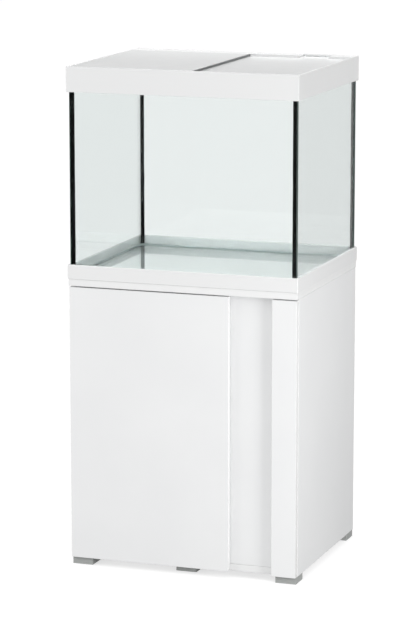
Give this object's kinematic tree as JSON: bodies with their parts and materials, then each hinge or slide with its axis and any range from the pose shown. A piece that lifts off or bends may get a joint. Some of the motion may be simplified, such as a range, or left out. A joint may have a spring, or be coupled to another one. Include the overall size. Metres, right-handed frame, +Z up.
{
  "type": "aquarium on stand",
  "caption": "Glass aquarium with a white lidded hood on a white cabinet; the door swings open and the hood lids slide over each other.",
  "frame": {"origin": "middle of the object's outline, on the floor under the feet", "axes": "+X to the right seen from the front, +Y towards the back, +Z up"},
  "size_m": [0.61, 0.51, 1.282],
  "materials": {
    "white_board": "satin white coated board",
    "white_plastic": "gloss white",
    "lid_plastic": "gloss white",
    "grey_plastic": "satin mid grey",
    "glass": "clear, faintly green",
    "silicone": "satin black",
    "clear_silicone": "translucent, smooth",
    "foot_aluminium": "ribbed and brushed",
    "lamp_aluminium": "satin anodised",
    "steel": "nickel plated",
    "diffuser": "frosted",
    "circuit": "white solder mask",
    "buffer": "translucent soft"
  },
  "bodies": {
    "base": {"foot_front_left": "foot_aluminium", "foot_front_right": "foot_aluminium", "foot_back_left": "foot_aluminium", "foot_back_right": "foot_aluminium", "foot_front_middle": "foot_aluminium", "top_board": "white_board", "bottom_board": "white_board", "niche_board": "white_board", "front_pillar": "white_board", "shelf": "white_board", "left_side_board": "white_board", "right_side_board": "white_board", "back_board": "white_board", "shelf_pin_front_left": "steel", "shelf_pin_front_right": "steel", "shelf_pin_back_left": "steel", "shelf_pin_back_right": "steel", "cam_front_left": "steel", "cam_front_right": "steel", "cam_back_left": "steel", "cam_back_right": "steel", "hinge_arm_bottom": "steel", "hinge_plate_bottom": "steel", "hinge_screw_bottom_lower": "steel", "hinge_screw_bottom_upper": "steel", "hinge_arm_top": "steel", "hinge_plate_top": "steel", "hinge_screw_top_lower": "steel", "hinge_screw_top_upper": "steel", "door_buffer_bottom": "buffer", "door_buffer_top": "buffer", "base_frame": "white_plastic", "hood_frame": "white_plastic", "hose_cover_left": "white_plastic", "hose_cover_right": "white_plastic", "lamp_end_cap_left": "white_plastic", "lamp_end_cap_right": "white_plastic", "cable_gland": "grey_plastic", "front_pane": "glass", "back_pane": "glass", "left_pane": "glass", "right_pane": "glass", "floor_pane": "glass", "silicone_front_left": "silicone", "silicone_front_right": "silicone", "silicone_back_left": "silicone", "silicone_back_right": "silicone", "floor_silicone": "clear_silicone", "lamp_housing": "lamp_aluminium", "lamp_diffuser": "diffuser", "diode_board": "circuit"},
    "door_leaf": {"door": "white_board", "hinge_cup_bottom": "steel", "hinge_cup_top": "steel", "hinge_pin_bottom": "steel", "hinge_pin_top": "steel"},
    "upper_lid": {"lid_left": "lid_plastic", "lid_grip": "grey_plastic"},
    "lower_lid": {"lid_right": "lid_plastic"}
  },
  "joints": [
    {"name": "door_hinge", "type": "hinge", "parent": "base", "child": "door_leaf", "pos_m": [-0.2938, -0.2435, 0.3714], "axis": [0, 0, -1], "range_deg": [0, 95]},
    {"name": "upper_lid_slide", "type": "slide", "parent": "base", "child": "upper_lid", "axis": [1, 0, 0], "range_m": [0, 0.272]},
    {"name": "lower_lid_slide", "type": "slide", "parent": "base", "child": "lower_lid", "axis": [-1, 0, 0], "range_m": [0, 0.304]}
  ]
}
